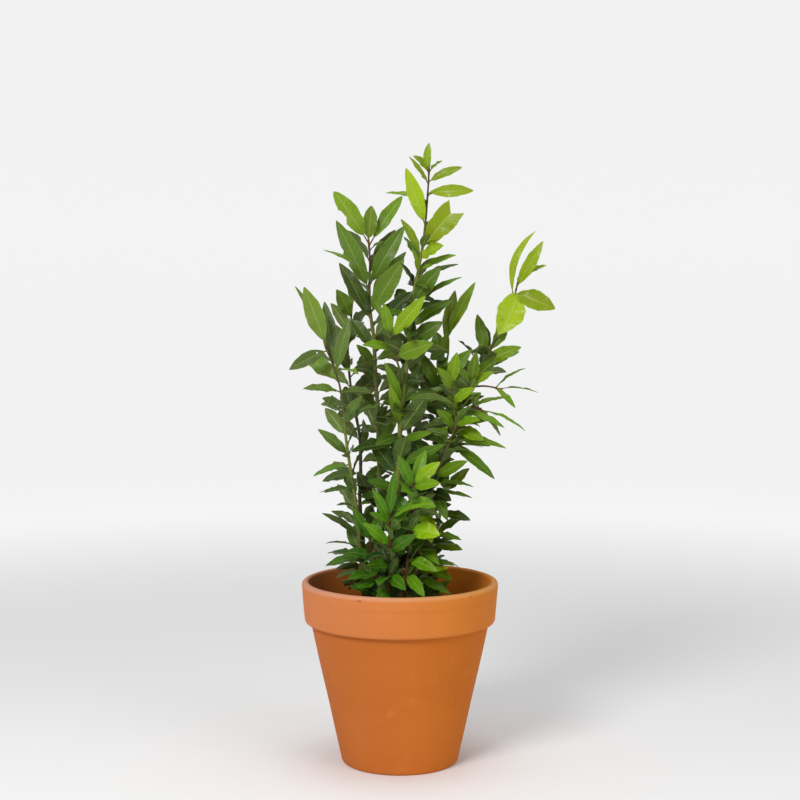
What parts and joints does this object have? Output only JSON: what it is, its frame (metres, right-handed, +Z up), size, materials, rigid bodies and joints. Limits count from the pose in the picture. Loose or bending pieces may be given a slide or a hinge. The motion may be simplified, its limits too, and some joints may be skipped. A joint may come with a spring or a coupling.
{
  "type": "potted bay laurel",
  "caption": "Young bay laurel with upright leafy stems, growing in soil in a round terracotta pot with a rim band.",
  "frame": {"origin": "centre of the pot's foot, on the surface that the pot stands on", "axes": "+Z up along the pot's axis, -Y towards the side that the picture shows, +X to that view's right"},
  "size_m": [0.335, 0.267, 0.781],
  "materials": {
    "terracotta": "matte, unglazed",
    "soil": "rough, moist potting soil",
    "bay": "semi-gloss leaves, brown to green stems"
  },
  "bodies": {
    "root": {"pot": "terracotta", "soil": "soil", "bay_stem_main": "bay", "bay_stem_tall": "bay", "bay_stem_back_left": "bay", "bay_stem_left": "bay", "bay_stem_right": "bay", "bay_stem_bent": "bay", "bay_stem_front": "bay", "bay_stem_front_right": "bay", "bay_stem_back": "bay", "bay_stem_low_left": "bay", "bay_stem_low_right": "bay"}
  },
  "joints": []
}
